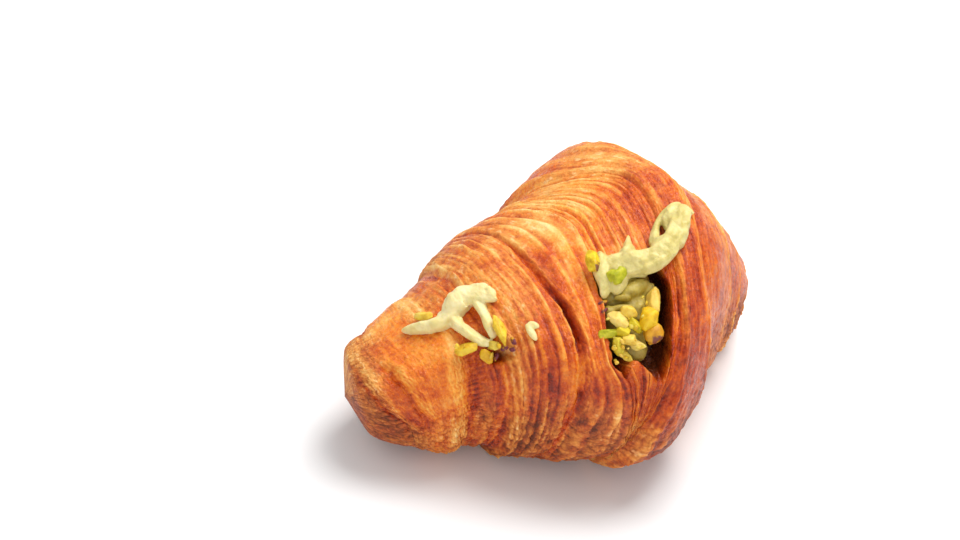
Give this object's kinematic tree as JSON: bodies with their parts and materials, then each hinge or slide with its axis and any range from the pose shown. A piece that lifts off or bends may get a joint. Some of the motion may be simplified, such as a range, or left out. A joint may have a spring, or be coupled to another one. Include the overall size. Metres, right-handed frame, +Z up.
{
  "type": "croissant",
  "caption": "Plump baked croissant on its flat base, torn open under the collar and filled with pistachio cream and chopped pistachios.",
  "frame": {"origin": "on the resting surface, under the middle of the croissant's outer box", "axes": "+X along the roll toward the right tip, +Z up, -Y toward the belly side with the filling slit"},
  "size_m": [0.1536, 0.1032, 0.0804],
  "materials": {
    "crust": "egg-washed butter dough baked golden to red-brown, satin with glossy dark bands",
    "cream": "smooth pale green pistachio cream, soft satin",
    "pistachio": "chopped pistachio kernels, yellow to green, matte cut faces"
  },
  "bodies": {
    "root": {"bread": "crust", "cream_slit": "cream", "cream_side": "cream", "cream_fleck": "cream", "pistachio_slit_1": "pistachio", "pistachio_slit_2": "pistachio", "pistachio_slit_3": "pistachio", "pistachio_slit_4": "pistachio", "pistachio_slit_5": "pistachio", "pistachio_slit_6": "pistachio", "pistachio_slit_7": "pistachio", "pistachio_slit_8": "pistachio", "pistachio_slit_9": "pistachio", "pistachio_slit_10": "pistachio", "pistachio_slit_11": "pistachio", "pistachio_slit_12": "pistachio", "pistachio_slit_13": "pistachio", "pistachio_slit_14": "pistachio", "pistachio_side_1": "pistachio", "pistachio_side_2": "pistachio", "pistachio_side_3": "pistachio", "pistachio_side_4": "pistachio", "pistachio_side_5": "pistachio"}
  },
  "joints": []
}
